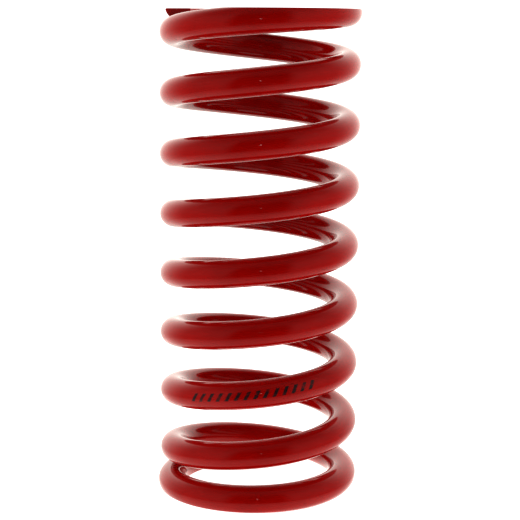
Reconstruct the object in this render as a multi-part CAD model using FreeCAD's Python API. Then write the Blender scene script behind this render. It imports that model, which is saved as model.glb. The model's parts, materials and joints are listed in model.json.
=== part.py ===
import FreeCAD, Part
import math
import os

# A helical compression spring of round wire, wound right-handed, with closed and ground ends.
#
# The origin is on the spring's axis, in the plane of the lower ground face, and +Z runs along
# the axis to the upper ground face. Angles are measured round the axis from +X towards +Y, and
# the wire climbs as its angle grows. -Y is the front.
#
# The wire is one piece of steel, but it moves because it bends all along its length. It is
# divided into quarter turns, cut square to the wire by planes through the axis, so that each
# quarter can travel down the axis by its own share of the compression.

# Driving dimensions, in millimetres.
FREE_LENGTH = 185.0
WIRE_DIAMETER = 10.6
INSIDE_DIAMETER = 55.0

# Where the wire starts and stops, in degrees round the axis.
LOWER_TIP_ANGLE = 135.0
UPPER_TIP_ANGLE = 163.0
WHOLE_TURNS = 9

# The wire's centre line at its two tips, measured inwards from the ground faces. The upper one
# is negative: there the centre line has risen past the ground face, and the tip is a thin wedge.
LOWER_TIP_DEPTH = 1.95
UPPER_TIP_DEPTH = -0.9

# Each end is wound nearly flat, and then opens out to the pitch of the body over a short ramp.
# Pitches are in millimetres a turn, and lengths along the wire are in turns.
LOWER_CLOSED_PITCH = 6.0
LOWER_CLOSED_TURNS = 0.435
LOWER_RAMP_TURNS = 0.556
UPPER_CLOSED_PITCH = 3.05
UPPER_CLOSED_TURNS = 0.127
UPPER_RAMP_TURNS = 0.964

# The wire springs open a little towards each tip.
LOWER_FLARE = 1.0
UPPER_FLARE = 0.45
FLARE_TURNS = 0.75

# How the wire is divided into nodes.
QUARTER = 90.0
QUARTER_NAMES = {180: "left", 270: "front", 0: "right", 90: "rear"}
SECTION_STEP = 7.5

# Sizes that follow from the ones above.
WIRE_RADIUS = WIRE_DIAMETER / 2
MEAN_RADIUS = INSIDE_DIAMETER / 2 + WIRE_RADIUS
WIRE_ANGLE = 360.0 * WHOLE_TURNS + UPPER_TIP_ANGLE - LOWER_TIP_ANGLE
TOTAL_TURNS = WIRE_ANGLE / 360.0
UPPER_RAMP_START = TOTAL_TURNS - UPPER_CLOSED_TURNS - UPPER_RAMP_TURNS

PARTS_FOLDER = "parts"


def smooth(share):
    """A curve that rises from 0 to 1 with no slope at either end."""
    share = min(max(share, 0.0), 1.0)
    return share * share * (3.0 - 2.0 * share)


def smooth_area(share):
    """The area under smooth() from 0 to share."""
    if share <= 0.0:
        return 0.0
    if share >= 1.0:
        return share - 0.5
    return share**3 - share**4 / 2.0


def active_pitch():
    """The pitch of the body that makes the whole spring come out at its free length."""
    lower_turns = LOWER_CLOSED_TURNS + LOWER_RAMP_TURNS / 2
    upper_turns = UPPER_CLOSED_TURNS + UPPER_RAMP_TURNS / 2
    climb = FREE_LENGTH - UPPER_TIP_DEPTH - LOWER_TIP_DEPTH
    climb -= LOWER_CLOSED_PITCH * lower_turns + UPPER_CLOSED_PITCH * upper_turns
    return climb / (TOTAL_TURNS - lower_turns - upper_turns)


ACTIVE_PITCH = active_pitch()


def height_at(turns):
    """The height of the centre line, so many turns along the wire from its lower tip."""
    height = LOWER_TIP_DEPTH + LOWER_CLOSED_PITCH * turns
    lower = smooth_area((turns - LOWER_CLOSED_TURNS) / LOWER_RAMP_TURNS)
    height += (ACTIVE_PITCH - LOWER_CLOSED_PITCH) * LOWER_RAMP_TURNS * lower
    upper = smooth_area((turns - UPPER_RAMP_START) / UPPER_RAMP_TURNS)
    height -= (ACTIVE_PITCH - UPPER_CLOSED_PITCH) * UPPER_RAMP_TURNS * upper
    return height


def radius_at(turns):
    """The radius of the centre line, so many turns along the wire from its lower tip."""
    lower = LOWER_FLARE * (1.0 - smooth(turns / FLARE_TURNS))
    upper = UPPER_FLARE * (1.0 - smooth((TOTAL_TURNS - turns) / FLARE_TURNS))
    return MEAN_RADIUS + lower + upper


def wire_section(wire_angle):
    """The wire's round section at an angle along it, in the plane through the spring's axis."""
    turns = wire_angle / 360.0
    radius = radius_at(turns)
    round_axis = math.radians(LOWER_TIP_ANGLE + wire_angle)
    cosine = math.cos(round_axis)
    sine = math.sin(round_axis)
    centre = FreeCAD.Vector(radius * cosine, radius * sine, height_at(turns))
    along = FreeCAD.Vector(-sine, cosine, 0)
    return Part.Wire(Part.makeCircle(WIRE_RADIUS, centre, along))


def wire_arc(start, end):
    """The solid stretch of wire between two angles along it, before its ends are ground."""
    steps = math.ceil((end - start) / SECTION_STEP)
    sections = [wire_section(start + (end - start) * i / steps) for i in range(steps + 1)]
    return Part.makeLoft(sections, True, False)


def reaches_ground_face(start, end):
    """Whether the wire between two angles along it reaches past either ground face."""
    lowest = height_at(start / 360.0) - WIRE_RADIUS
    highest = height_at(end / 360.0) + WIRE_RADIUS
    return lowest < 0 or highest > FREE_LENGTH


def between_ground_faces(solid):
    """The solid with everything past the two ground faces taken off."""
    reach = INSIDE_DIAMETER + 4 * WIRE_DIAMETER
    corner = FreeCAD.Vector(-reach / 2, -reach / 2, 0)
    return solid.common(Part.makeBox(reach, reach, FREE_LENGTH, corner))


def quarter_starts():
    """The angle along the wire where each quarter turn starts. The last one runs to the tip."""
    return [QUARTER * i for i in range(int(WIRE_ANGLE // QUARTER))]


def arc_name(start):
    """A name such as coil_3_front, by the turn counted from the lower tip and the side."""
    coil = int(start // 360) + 1
    middle = round(LOWER_TIP_ANGLE + start + QUARTER / 2) % 360
    return f"coil_{coil}_{QUARTER_NAMES[middle]}"


def build():
    os.makedirs(PARTS_FOLDER, exist_ok=True)
    starts = quarter_starts()
    ends = starts[1:] + [WIRE_ANGLE]
    volume = 0.0
    for start, end in zip(starts, ends):
        arc = wire_arc(start, end)
        if reaches_ground_face(start, end):
            arc = between_ground_faces(arc).Solids[0]
        name = arc_name(start)
        arc.exportStep(os.path.join(PARTS_FOLDER, name + ".step"))
        volume += arc.Volume
        print(f"{name}: {arc.Volume:.0f} mm3")
    print(f"pitch {ACTIVE_PITCH:.3f} mm, {TOTAL_TURNS:.3f} turns, {volume / 1000:.1f} cm3")


build()
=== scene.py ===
import json
import math

import bpy
import numpy as np
from mathutils import Matrix, Vector


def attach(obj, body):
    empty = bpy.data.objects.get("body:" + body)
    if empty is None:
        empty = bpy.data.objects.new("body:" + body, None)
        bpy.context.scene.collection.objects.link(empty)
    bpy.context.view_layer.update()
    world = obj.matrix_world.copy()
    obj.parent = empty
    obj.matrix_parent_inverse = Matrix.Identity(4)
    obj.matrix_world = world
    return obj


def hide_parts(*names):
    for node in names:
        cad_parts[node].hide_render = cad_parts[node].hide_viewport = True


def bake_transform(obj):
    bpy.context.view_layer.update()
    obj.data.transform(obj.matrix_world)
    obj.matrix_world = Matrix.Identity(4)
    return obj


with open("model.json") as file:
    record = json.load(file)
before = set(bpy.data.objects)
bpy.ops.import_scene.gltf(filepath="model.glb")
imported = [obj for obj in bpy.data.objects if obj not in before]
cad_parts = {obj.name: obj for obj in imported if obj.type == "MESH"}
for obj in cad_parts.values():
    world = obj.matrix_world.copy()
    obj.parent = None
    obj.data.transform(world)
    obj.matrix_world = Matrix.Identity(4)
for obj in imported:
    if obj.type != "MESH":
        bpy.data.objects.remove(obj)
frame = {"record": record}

# A gloss red coil spring, standing on its ground lower end.
#
# The wire's surface is worked out from the same centre line as the CAD model, in metres and in
# its frame, and divided into one piece for each CAD node. A place on the wire is its angle in
# degrees from the lower tip, and a place round the wire's section is measured from its underside.

MM = 0.001


def mount(name):
    """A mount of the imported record, by its name."""
    return next(m for m in frame["record"]["mounts"] if m["name"] == name)


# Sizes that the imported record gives.
INSIDE_RADIUS = mount("guide_space")["dims"]["r_mm"] * MM
FREE_LENGTH = mount("upper_seat")["pos_m"][2]

# The wire and its centre line, as the CAD model has them.
WIRE_RADIUS = 5.3 * MM
MEAN_RADIUS = INSIDE_RADIUS + WIRE_RADIUS
LOWER_TIP_ANGLE = 135.0
UPPER_TIP_ANGLE = 163.0
WHOLE_TURNS = 9
LOWER_TIP_DEPTH = 1.95 * MM
UPPER_TIP_DEPTH = -0.9 * MM
LOWER_CLOSED_PITCH = 6.0 * MM
LOWER_CLOSED_TURNS = 0.435
LOWER_RAMP_TURNS = 0.556
UPPER_CLOSED_PITCH = 3.05 * MM
UPPER_CLOSED_TURNS = 0.127
UPPER_RAMP_TURNS = 0.964
LOWER_FLARE = 1.0 * MM
UPPER_FLARE = 0.45 * MM
FLARE_TURNS = 0.75
WIRE_ANGLE = 360.0 * WHOLE_TURNS + UPPER_TIP_ANGLE - LOWER_TIP_ANGLE
TOTAL_TURNS = WIRE_ANGLE / 360.0
UPPER_RAMP_START = TOTAL_TURNS - UPPER_CLOSED_TURNS - UPPER_RAMP_TURNS

# How the wire is divided, and how finely its surface is.
QUARTER = 90.0
QUARTER_NAMES = {180: "left", 270: "front", 0: "right", 90: "rear"}
RING_STEP = 2.0
PLAIN_POINTS = 96
GROUND_POINTS = 160

# The powder coat rounds every edge that grinding leaves.
EDGE_RADIUS = 0.45 * MM
EDGE_RINGS = 6
EDGE_WEIGHT = 3.0
END_INSET = EDGE_RADIUS * 1.2

# The turns that move when the spring shortens, in degrees along the wire.
ACTIVE_START = 450.0
ACTIVE_END = 2790.0
ACTIVE_EASE = 45.0


def smooth(share):
    """A curve that rises from 0 to 1 with no slope at either end."""
    share = np.clip(share, 0.0, 1.0)
    return share * share * (3.0 - 2.0 * share)


def smooth_area(share):
    """The area under smooth() from 0 to share."""
    inside = np.clip(share, 0.0, 1.0)
    return inside**3 - inside**4 / 2.0 + np.maximum(share - 1.0, 0.0)


def active_pitch():
    """The pitch of the body that makes the whole spring come out at its free length."""
    lower_turns = LOWER_CLOSED_TURNS + LOWER_RAMP_TURNS / 2
    upper_turns = UPPER_CLOSED_TURNS + UPPER_RAMP_TURNS / 2
    climb = FREE_LENGTH - UPPER_TIP_DEPTH - LOWER_TIP_DEPTH
    climb -= LOWER_CLOSED_PITCH * lower_turns + UPPER_CLOSED_PITCH * upper_turns
    return climb / (TOTAL_TURNS - lower_turns - upper_turns)


ACTIVE_PITCH = active_pitch()


def height_at(turns):
    """The height of the centre line, so many turns along the wire from its lower tip."""
    lower = smooth_area((turns - LOWER_CLOSED_TURNS) / LOWER_RAMP_TURNS)
    upper = smooth_area((turns - UPPER_RAMP_START) / UPPER_RAMP_TURNS)
    height = LOWER_TIP_DEPTH + LOWER_CLOSED_PITCH * turns
    height += (ACTIVE_PITCH - LOWER_CLOSED_PITCH) * LOWER_RAMP_TURNS * lower
    return height - (ACTIVE_PITCH - UPPER_CLOSED_PITCH) * UPPER_RAMP_TURNS * upper


def radius_at(turns):
    """The radius of the centre line, so many turns along the wire from its lower tip."""
    lower = LOWER_FLARE * (1.0 - smooth(turns / FLARE_TURNS))
    upper = UPPER_FLARE * (1.0 - smooth((TOTAL_TURNS - turns) / FLARE_TURNS))
    return MEAN_RADIUS + lower + upper


def round_section(radius, points):
    """A whole circle of the wire's section, as (outwards, up) from the centre line."""
    angle = 2 * math.pi * np.arange(points) / points - math.pi / 2
    return radius * np.stack([np.cos(angle), np.sin(angle)], axis=1)


def ground_section(radius, edge, face, points):
    """The section with everything higher than face cut off, and the two corners rounded to edge.
    The points are evenly spaced, but EDGE_WEIGHT times closer round the corners."""
    corner_up = face - edge
    corner_out = math.sqrt((radius - edge) ** 2 - corner_up**2)
    meet = math.asin(corner_up / (radius - edge))
    arc = radius * (meet + math.pi / 2)
    corner = edge * (math.pi / 2 - meet)
    half = arc + EDGE_WEIGHT * corner + corner_out
    place = np.arange(points) * 2 * half / points
    side = np.where(place <= half, 1.0, -1.0)
    place = np.minimum(place, 2 * half - place)
    on_arc = place / radius - math.pi / 2
    on_corner = meet + np.clip((place - arc) / EDGE_WEIGHT, 0.0, corner) / max(edge, 1e-9)
    on_face = np.clip(place - arc - EDGE_WEIGHT * corner, 0.0, corner_out)
    out = np.where(place < arc, radius * np.cos(on_arc), corner_out + edge * np.cos(on_corner) - on_face)
    up = np.where(place < arc, radius * np.sin(on_arc), corner_up + edge * np.sin(on_corner))
    return np.stack([side * out, up], axis=1)


def section_at(turns, inset, points):
    """The wire's section, shrunk by inset all round, with whichever ground face crosses it."""
    radius = WIRE_RADIUS - inset
    edge = EDGE_RADIUS - inset
    height = float(height_at(turns))
    above = FREE_LENGTH - height
    if above < WIRE_RADIUS:
        return ground_section(radius, edge, above - inset, points)
    if height < WIRE_RADIUS:
        upside_down = ground_section(radius, edge, height - inset, points)
        return np.roll(upside_down, points // 2, axis=0)[::-1] * (1.0, -1.0)
    return round_section(radius, points)


def ring(wire_angle, inset, points):
    """One ring of the surface: where its points are, and where they would be on a straight wire."""
    turns = wire_angle / 360.0
    round_axis = math.radians(LOWER_TIP_ANGLE + wire_angle)
    section = section_at(turns, inset, points)
    outwards = radius_at(turns) + section[:, 0]
    up = height_at(turns) + section[:, 1]
    place = np.stack([outwards * math.cos(round_axis), outwards * math.sin(round_axis), up], axis=1)
    along = np.full(points, math.radians(wire_angle) * MEAN_RADIUS)
    straight = np.stack([along, section[:, 0], section[:, 1]], axis=1)
    return place, straight


def tip_rings(tip, inwards):
    """(wire angle, inset) of the rings that round a tip of the wire over, from the inside out."""
    rings = []
    for i in range(1, EDGE_RINGS + 1):
        turned = math.pi / 2 * i / EDGE_RINGS
        back = math.degrees(EDGE_RADIUS * (1 - math.sin(turned)) / MEAN_RADIUS)
        rings.append((tip + inwards * back, EDGE_RADIUS * (1 - math.cos(turned))))
    return rings


def piece_rings(start, end):
    """(wire angle, inset) of every ring of one piece, with one more past each end for its normals.
    At a tip there is no wire past the end, so the extra ring is set in from it instead."""
    rounded = math.degrees(EDGE_RADIUS / MEAN_RADIUS)
    first = start + rounded if start == 0 else start
    last = end - rounded if end == WIRE_ANGLE else end
    count = math.ceil((last - first) / RING_STEP)
    rings = [(first + (last - first) * i / count, 0.0) for i in range(count + 1)]
    if start == 0:
        tip = tip_rings(0.0, 1.0)
        rings = [(0.0, END_INSET)] + tip[::-1] + rings
    else:
        rings = [(start - RING_STEP, 0.0)] + rings
    if end == WIRE_ANGLE:
        return rings + tip_rings(WIRE_ANGLE, -1.0) + [(WIRE_ANGLE, END_INSET)]
    return rings + [(end + RING_STEP, 0.0)]


def unit(vectors):
    """The vectors, each scaled to a length of 1."""
    return vectors / np.maximum(np.linalg.norm(vectors, axis=-1, keepdims=True), 1e-12)


def grid_normals(grid):
    """The outward normals of a grid of rings, apart from its first and last ring."""
    along = unit(grid[2:] - grid[1:-1]) + unit(grid[1:-1] - grid[:-2])
    middle = grid[1:-1]
    after = np.roll(middle, -1, axis=1)
    before = np.roll(middle, 1, axis=1)
    around = unit(after - middle) + unit(middle - before)
    return unit(np.cross(along, around))


def active_share(wire_angle):
    """How much of the compression a place on the wire follows: 0 at the lower end, 1 at the upper.
    It grows evenly along the active wire, and is eased in and out so that the wire has no kink."""
    def ramp(past):
        eased = np.clip(past + ACTIVE_EASE, 0.0, 2 * ACTIVE_EASE) ** 2 / (4 * ACTIVE_EASE)
        return np.where(past > ACTIVE_EASE, past, eased)
    return (ramp(wire_angle - ACTIVE_START) - ramp(wire_angle - ACTIVE_END)) / (ACTIVE_END - ACTIVE_START)


def wire_piece(name, start, end):
    """One stretch of the wire as a closed mesh, with smooth sides and flat ends."""
    ground = height_at(start / 360.0) < WIRE_RADIUS or FREE_LENGTH - height_at(end / 360.0) < WIRE_RADIUS
    points = GROUND_POINTS if ground else PLAIN_POINTS
    rings = piece_rings(start, end)
    made = [ring(angle, inset, points) for angle, inset in rings]
    grid = np.array([place for place, straight in made])
    straight = np.array([straight for place, straight in made])[1:-1]
    normals = grid_normals(grid)
    grid = grid[1:-1]
    rows = len(grid)
    ends = [grid[0].mean(axis=0), grid[-1].mean(axis=0)]
    vertices = np.vstack([grid.reshape(-1, 3), ends])
    low_centre = rows * points
    high_centre = low_centre + 1

    faces = []
    corner_normals = []
    low_normal = unit(np.cross(grid[0][0] - ends[0], grid[0][points // 4] - ends[0]))
    high_normal = unit(np.cross(grid[-1][points // 4] - ends[1], grid[-1][0] - ends[1]))
    for i in range(rows - 1):
        for j in range(points):
            k = (j + 1) % points
            corners = [(i, j), (i + 1, j), (i + 1, k), (i, k)]
            faces.append([row * points + column for row, column in corners])
            corner_normals += [normals[row][column] for row, column in corners]
    for j in range(points):
        k = (j + 1) % points
        faces.append([low_centre, j, k])
        corner_normals += [low_normal] * 3
        faces.append([high_centre, (rows - 1) * points + k, (rows - 1) * points + j])
        corner_normals += [high_normal] * 3

    mesh = bpy.data.meshes.new(name)
    mesh.from_pydata(vertices.tolist(), [], faces)
    mesh.polygons.foreach_set("use_smooth", [True] * len(mesh.polygons))
    mesh.normals_split_custom_set([tuple(normal) for normal in corner_normals])
    middle = np.array([[straight[0][0][0], 0, 0], [straight[-1][0][0], 0, 0]])
    attribute = mesh.attributes.new("on_straight_wire", "FLOAT_VECTOR", "POINT")
    attribute.data.foreach_set("vector", np.vstack([straight.reshape(-1, 3), middle]).ravel())
    piece = bpy.data.objects.new(name, mesh)
    bpy.context.scene.collection.objects.link(piece)

    angles = np.array([angle for angle, inset in rings[1:-1]])
    share = np.append(np.repeat(active_share(angles), points), active_share(np.array([start, end])))
    return piece, share


def join_body(piece, share):
    """Makes a piece move rigidly with the CAD body at its end of the wire, when every point of it follows
    that end.
    Any other piece only has its transform baked into its mesh, and stays where it is."""
    if share.max() == 0.0:
        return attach(piece, "lower_end")
    if share.min() == 1.0:
        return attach(piece, "upper_end")
    low = (0, 0, float(height_at(ACTIVE_START / 360.0)))
    high = (0, 0, float(height_at(ACTIVE_END / 360.0)))
    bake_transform(piece)
    return piece


def node_name(start):
    """The CAD node of the quarter turn that starts at this angle along the wire."""
    coil = int(start // 360) + 1
    middle = round(LOWER_TIP_ANGLE + start + QUARTER / 2) % 360
    return f"coil_{coil}_{QUARTER_NAMES[middle]}"


def make_wire():
    coat = powder_coat("powder_coat", printed=False)
    printed_coat = powder_coat("printed_powder_coat", printed=True)
    starts = [QUARTER * i for i in range(int(WIRE_ANGLE // QUARTER))]
    ends = starts[1:] + [WIRE_ANGLE]
    for start, end in zip(starts, ends):
        node = node_name(start)
        piece, share = wire_piece("wire_" + node, start, end)
        piece.data.materials.append(printed_coat if node == MARK_NODE else coat)
        join_body(piece, share)
        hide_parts(node)


# The camera stands in front, a little below the top of the spring, and looks slightly down.
CAMERA_DISTANCE = 0.5727
CAMERA_HEIGHT = 0.1791
CAMERA_TILT = 8.913
CAMERA_TURN = -0.032
CAMERA_ROLL = 0.346
CAMERA_LENS = 104.07
SENSOR_WIDTH = 36.0


def make_camera():
    camera = bpy.data.objects.new("camera", bpy.data.cameras.new("camera"))
    camera.data.lens = CAMERA_LENS
    camera.data.sensor_width = SENSOR_WIDTH
    turned = Matrix.Rotation(math.radians(CAMERA_TURN), 4, "Z")
    tilted = Matrix.Rotation(math.radians(90 - CAMERA_TILT), 4, "X")
    rolled = Matrix.Rotation(math.radians(CAMERA_ROLL), 4, "Z")
    placed = Matrix.Translation((0, -CAMERA_DISTANCE, CAMERA_HEIGHT))
    camera.matrix_world = placed @ turned @ tilted @ rolled
    bpy.context.scene.collection.objects.link(camera)
    bpy.context.scene.camera = camera


def add_node(tree, kind, **settings):
    """Adds a node of this kind, with its properties set."""
    made = tree.nodes.new(kind)
    for name, value in settings.items():
        setattr(made, name, value)
    return made


def link(tree, value, socket):
    """Joins a node's output to a socket, or sets the socket if the value is a plain one."""
    if isinstance(value, bpy.types.NodeSocket):
        tree.links.new(value, socket)
    else:
        socket.default_value = value


def maths(tree, operation, first, second=0.0):
    """One sum on two numbers."""
    made = add_node(tree, "ShaderNodeMath", operation=operation)
    link(tree, first, made.inputs[0])
    link(tree, second, made.inputs[1])
    return made.outputs[0]


def noise(tree, place, size, detail=2.0):
    """Smooth noise whose features are about so many metres across."""
    made = add_node(tree, "ShaderNodeTexNoise")
    tree.links.new(place, made.inputs["Vector"])
    made.inputs["Scale"].default_value = 1.0 / size
    made.inputs["Detail"].default_value = detail
    return made.outputs["Fac"]


def between(tree, source, low, high, low_value=0.0, high_value=1.0):
    """low_value where source is at low, high_value where it is at high, and smooth between."""
    made = add_node(tree, "ShaderNodeMapRange", interpolation_type="SMOOTHSTEP")
    link(tree, source, made.inputs["Value"])
    made.inputs["From Min"].default_value = low
    made.inputs["From Max"].default_value = high
    made.inputs["To Min"].default_value = low_value
    made.inputs["To Max"].default_value = high_value
    return made.outputs[0]


def mix(tree, share, low, high):
    """A colour between two others. Each is a socket or a plain colour."""
    made = add_node(tree, "ShaderNodeMix", data_type="RGBA")
    link(tree, share, made.inputs["Factor"])
    link(tree, low, made.inputs[6])
    link(tree, high, made.inputs[7])
    return made.outputs[2]


# The powder coat: a deep gloss red, with the slight waviness and cloudiness that it sets with.
RED = (0.36, 0.0022, 0.0011, 1)
DARK_RED = (0.29, 0.0017, 0.0009, 1)
CLOUD_SIZE = 9 * MM
CLOUD_SHARE = 0.5
SPECK_SIZE = 0.35 * MM
SPECK_SHARE = 0.35
GLOSS_SIZE = 3 * MM
SMOOTHEST = 0.03
ROUGHEST = 0.085
COAT_IOR = 1.5
PEEL_SIZE = 1.5 * MM
PEEL_DEPTH = 0.009 * MM
GRAIN_SIZE = 0.3 * MM
GRAIN_DEPTH = 0.0008 * MM

# The ink mark: a row of slanted bars on the outside of the third coil, a plain batch mark. It
# starts and ends at these angles along the wire, and rises round the wire as it goes.
INK = (0.012, 0.010, 0.012, 1)
INK_ROUGHNESS = 0.25
MARK_NODE = "coil_3_front"
MARK_START = 814.0
MARK_END = 889.0
MARK_START_RISE = 3.0
MARK_END_RISE = 19.0
MARK_TALL = 2.9 * MM
BAR_WIDE = 1.1 * MM
BAR_COUNT = 14
BAR_SLANT = 0.45
INK_EDGE = 0.12 * MM
WEAR_SIZE = 1.6 * MM
THINNEST_INK = 0.45
FULLEST_INK = 0.95


def ink_share(tree, place):
    """1 where the ink mark is and 0 elsewhere, worn thin in places."""
    split = add_node(tree, "ShaderNodeSeparateXYZ")
    tree.links.new(place, split.inputs[0])
    start = math.radians(MARK_START) * MEAN_RADIUS
    length = math.radians(MARK_END) * MEAN_RADIUS - start
    pitch = length / BAR_COUNT
    climb = math.radians(MARK_END_RISE - MARK_START_RISE) / length
    middle = maths(tree, "MULTIPLY", maths(tree, "SUBTRACT", split.outputs["X"], start), climb)
    middle = maths(tree, "ADD", middle, math.radians(MARK_START_RISE))
    round_wire = maths(tree, "ARCTAN2", split.outputs["Z"], split.outputs["Y"])
    across = maths(tree, "MULTIPLY", maths(tree, "SUBTRACT", round_wire, middle), WIRE_RADIUS)
    leaning = maths(tree, "SUBTRACT", split.outputs["X"], maths(tree, "MULTIPLY", across, BAR_SLANT))
    bars = maths(tree, "DIVIDE", maths(tree, "SUBTRACT", leaning, start), pitch)
    from_bar = maths(tree, "ABSOLUTE", maths(tree, "SUBTRACT", maths(tree, "FRACT", bars), 0.5))
    from_bar = maths(tree, "MULTIPLY", from_bar, pitch)
    bar = between(tree, from_bar, BAR_WIDE / 2 + INK_EDGE, BAR_WIDE / 2)
    off_line = maths(tree, "ABSOLUTE", across)
    line = between(tree, off_line, MARK_TALL / 2 + INK_EDGE, MARK_TALL / 2)
    begun = maths(tree, "GREATER_THAN", bars, 0.0)
    unfinished = maths(tree, "LESS_THAN", bars, float(BAR_COUNT))
    worn = between(tree, noise(tree, place, WEAR_SIZE, 4.0), 0.30, 0.52, THINNEST_INK, FULLEST_INK)
    share = maths(tree, "MULTIPLY", maths(tree, "MULTIPLY", bar, line), worn)
    return maths(tree, "MULTIPLY", share, maths(tree, "MULTIPLY", begun, unfinished))


def powder_coat(name, printed):
    """The gloss powder coat, with or without the ink mark on it."""
    material = bpy.data.materials.new(name)
    material.use_nodes = True
    tree = material.node_tree
    shader = tree.nodes["Principled BSDF"]
    place = add_node(tree, "ShaderNodeAttribute", attribute_name="on_straight_wire").outputs["Vector"]
    cloud = between(tree, noise(tree, place, CLOUD_SIZE, 3.0), 0.3, 0.7)
    speck = between(tree, noise(tree, place, SPECK_SIZE), 0.55, 0.75, 0.0, SPECK_SHARE)
    darker = maths(tree, "MAXIMUM", maths(tree, "MULTIPLY", cloud, CLOUD_SHARE), speck)
    colour = mix(tree, darker, RED, DARK_RED)
    roughness = between(tree, noise(tree, place, GLOSS_SIZE, 3.0), 0.3, 0.7, SMOOTHEST, ROUGHEST)
    peel = maths(tree, "MULTIPLY", noise(tree, place, PEEL_SIZE, 1.0), PEEL_DEPTH)
    grain = maths(tree, "MULTIPLY", noise(tree, place, GRAIN_SIZE, 2.0), GRAIN_DEPTH)
    bump = add_node(tree, "ShaderNodeBump")
    bump.inputs["Distance"].default_value = 1.0
    tree.links.new(maths(tree, "ADD", peel, grain), bump.inputs["Height"])
    if printed:
        ink = ink_share(tree, place)
        colour = mix(tree, ink, colour, INK)
        roughness = maths(tree, "ADD", roughness, maths(tree, "MULTIPLY", ink, INK_ROUGHNESS))
    tree.links.new(colour, shader.inputs["Base Color"])
    tree.links.new(roughness, shader.inputs["Roughness"])
    tree.links.new(bump.outputs["Normal"], shader.inputs["Normal"])
    shader.inputs["IOR"].default_value = COAT_IOR
    return material


# The studio. Directions are in degrees from straight ahead of the spring, where the camera is, and
# each list holds (direction, brightness) pairs.
STAGE_REACH = 3.0
DOME_RADIUS = 4.5
FLOOR_HEIGHT = -0.1 * MM
FLOOR_COLOUR = (0.8, 0.8, 0.8)
FLOOR_GLOW = 0.75
WHITE = 1.15
CEILING = 0.15
CEILING_START = 28.0
CEILING_END = 80.0
WALLS = [(26, 0.02), (45, 0.35), (90, 0.35), (150, 1.40)]
LOW_START = 6.0
LOW_END = -14.0
LOW_SHARE = 0.8
TABLE_RADIUS = 0.41
TABLE_DROP = 95 * MM
TABLE_FULL = 0.14
TABLE_MIDDLE = [(0, 0.55), (90, 0.90), (150, 1.40)]
TABLE_EDGE = [(0, 0.15), (90, 0.55), (150, 1.35)]
ROOM_TINT = (1.0, 0.97, 0.91, 1)
BLACK = (0, 0, 0, 1)

# The small bright spot above the camera that each front strand mirrors.
SPOT_RADIUS = 12 * MM
SPOT_RISE = 25 * MM
SPOT_GLOW = 7.0


def plain_material(name, colour, glow=0.0):
    material = bpy.data.materials.new(name)
    material.use_nodes = True
    shader = material.node_tree.nodes["Principled BSDF"]
    shader.inputs["Base Color"].default_value = (*colour, 1)
    shader.inputs["Roughness"].default_value = 1.0
    shader.inputs["Specular IOR Level"].default_value = 0.0
    shader.inputs["Emission Color"].default_value = (1, 1, 1, 1)
    shader.inputs["Emission Strength"].default_value = glow
    return material


def make_floor():
    """A pale floor that only the camera sees: the light table below it is what lights the spring."""
    mesh = bpy.data.meshes.new("floor")
    sides = [(-1, -1), (1, -1), (1, 1), (-1, 1)]
    corners = [(STAGE_REACH * x, STAGE_REACH * y, FLOOR_HEIGHT) for x, y in sides]
    mesh.from_pydata(corners, [], [(0, 1, 2, 3)])
    floor = bpy.data.objects.new("floor", mesh)
    bpy.context.scene.collection.objects.link(floor)
    floor.data.materials.append(plain_material("floor", FLOOR_COLOUR, FLOOR_GLOW))
    floor.visible_diffuse = False
    floor.visible_glossy = False
    floor.visible_shadow = False


def make_backdrop():
    """A white dome that only the camera sees."""
    bpy.ops.mesh.primitive_uv_sphere_add(segments=48, ring_count=24, radius=DOME_RADIUS)
    dome = bpy.context.object
    dome.name = "backdrop"
    dome.data.materials.append(plain_material("backdrop", (0, 0, 0), WHITE))
    dome.visible_diffuse = False
    dome.visible_glossy = False
    dome.visible_transmission = False
    dome.visible_shadow = False


def ramp(tree, source, stops):
    """A smooth grey ramp over the angle from straight ahead, from (degrees, brightness) pairs."""
    made = add_node(tree, "ShaderNodeValToRGB")
    made.color_ramp.interpolation = "EASE"
    while len(made.color_ramp.elements) < len(stops):
        made.color_ramp.elements.new(0.5)
    for element, (angle, brightness) in zip(made.color_ramp.elements, stops):
        element.position = angle / 180
        element.color = (brightness, brightness, brightness, 1)
    tree.links.new(source, made.inputs[0])
    return made.outputs[0]


def from_ahead(tree, split):
    """How far round a place or direction is: 0 straight ahead of the spring and 1 behind it."""
    ahead = maths(tree, "MULTIPLY", split.outputs["Y"], -1.0)
    turned = maths(tree, "ARCTAN2", split.outputs["X"], ahead)
    return maths(tree, "DIVIDE", maths(tree, "ABSOLUTE", turned), math.pi)


def tinted(tree, colour):
    """The colour with the room's slight warmth."""
    made = add_node(tree, "ShaderNodeMix", data_type="RGBA", blend_type="MULTIPLY")
    made.inputs["Factor"].default_value = 1.0
    tree.links.new(colour, made.inputs[6])
    made.inputs[7].default_value = ROOM_TINT
    return made.outputs[2]


def make_world():
    """The studio walls: dark round the camera, and brighter to the sides and behind, under a dim ceiling."""
    world = bpy.data.worlds.new("studio")
    world.use_nodes = True
    tree = world.node_tree
    split = add_node(tree, "ShaderNodeSeparateXYZ")
    tree.links.new(add_node(tree, "ShaderNodeTexCoord").outputs["Generated"], split.inputs[0])
    turn = from_ahead(tree, split)
    up = split.outputs["Z"]
    rise = [math.sin(math.radians(angle)) for angle in (LOW_END, LOW_START, CEILING_START, CEILING_END)]
    low = between(tree, up, rise[0], rise[1], LOW_SHARE, 1.0)
    high = between(tree, up, rise[2], rise[3])
    walls = mix(tree, low, BLACK, ramp(tree, turn, WALLS))
    room = mix(tree, high, walls, (CEILING, CEILING, CEILING, 1))
    tree.links.new(tinted(tree, room), tree.nodes["Background"].inputs["Color"])
    bpy.context.scene.world = world


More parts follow.
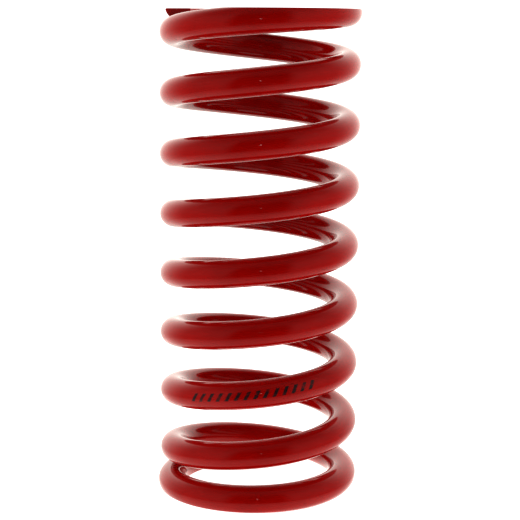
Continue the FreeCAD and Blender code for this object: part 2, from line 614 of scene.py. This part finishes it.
def make_light_table():
    """The bright round table that lights the spring from below. It shows in the gloss, not in the picture."""
    bpy.ops.mesh.primitive_circle_add(vertices=96, radius=TABLE_RADIUS, fill_type="NGON")
    table = bpy.context.object
    table.name = "light_table"
    table.location.z = -TABLE_DROP
    table.visible_camera = False
    table.visible_diffuse = False
    table.visible_shadow = False
    material = plain_material("light_table", (0, 0, 0), 1.0)
    tree = material.node_tree
    split = add_node(tree, "ShaderNodeSeparateXYZ")
    tree.links.new(add_node(tree, "ShaderNodeTexCoord").outputs["Object"], split.inputs[0])
    turn = from_ahead(tree, split)
    across = maths(tree, "MULTIPLY", split.outputs["X"], split.outputs["X"])
    along = maths(tree, "MULTIPLY", split.outputs["Y"], split.outputs["Y"])
    radius = maths(tree, "SQRT", maths(tree, "ADD", across, along))
    outwards = between(tree, radius, TABLE_FULL, TABLE_RADIUS)
    glow = mix(tree, outwards, ramp(tree, turn, TABLE_MIDDLE), ramp(tree, turn, TABLE_EDGE))
    tree.links.new(tinted(tree, glow), tree.nodes["Principled BSDF"].inputs["Emission Color"])
    table.data.materials.append(material)


def make_spot():
    """A small bright disc just above the camera, which only the gloss sees."""
    camera = bpy.context.scene.camera
    bpy.ops.mesh.primitive_circle_add(vertices=48, radius=SPOT_RADIUS, fill_type="NGON")
    disc = bpy.context.object
    disc.name = "spot"
    disc.data.materials.append(plain_material("spot", (0, 0, 0), SPOT_GLOW))
    disc.rotation_euler = camera.rotation_euler
    disc.location = camera.matrix_world @ Vector((0, SPOT_RISE, 0))
    disc.visible_camera = False
    disc.visible_diffuse = False
    disc.visible_shadow = False


# Large soft lights that fill in the colour, and don't show in the gloss. Each one's name, azimuth
# and rise in degrees from the middle of the spring, distance and size in metres, and power in watts.
LIGHTS = [
    ("left_light", -90, 24, 1.2, 1.0, 11.0),
    ("right_light", 90, 24, 1.2, 1.0, 11.0),
    ("front_light", 0, -35, 1.2, 1.0, 7.6),
    ("table_light", 0, -90, 0.5, 1.0, 3.4),
]


def soft_light(name, azimuth, rise, distance, size, power):
    """A large soft light, aimed at the middle of the spring."""
    light = bpy.data.lights.new(name, "AREA")
    light.size = size
    light.energy = power
    made = bpy.data.objects.new(name, light)
    turned = math.radians(azimuth)
    level = math.cos(math.radians(rise))
    away = Vector((math.sin(turned) * level, -math.cos(turned) * level, math.sin(math.radians(rise))))
    made.location = Vector((0, 0, FREE_LENGTH / 2)) + distance * away
    made.rotation_euler = away.to_track_quat("Z", "Y").to_euler()
    made.visible_camera = False
    made.visible_glossy = False
    bpy.context.scene.collection.objects.link(made)


# How the picture is developed.
EXPOSURE = 0.3
GAMMA = 0.77

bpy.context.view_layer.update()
make_camera()
make_wire()
make_floor()
make_backdrop()
make_world()
make_light_table()
make_spot()
for setting in LIGHTS:
    soft_light(*setting)
bpy.context.scene.view_settings.view_transform = "Standard"
bpy.context.scene.view_settings.exposure = EXPOSURE
bpy.context.scene.view_settings.gamma = GAMMA
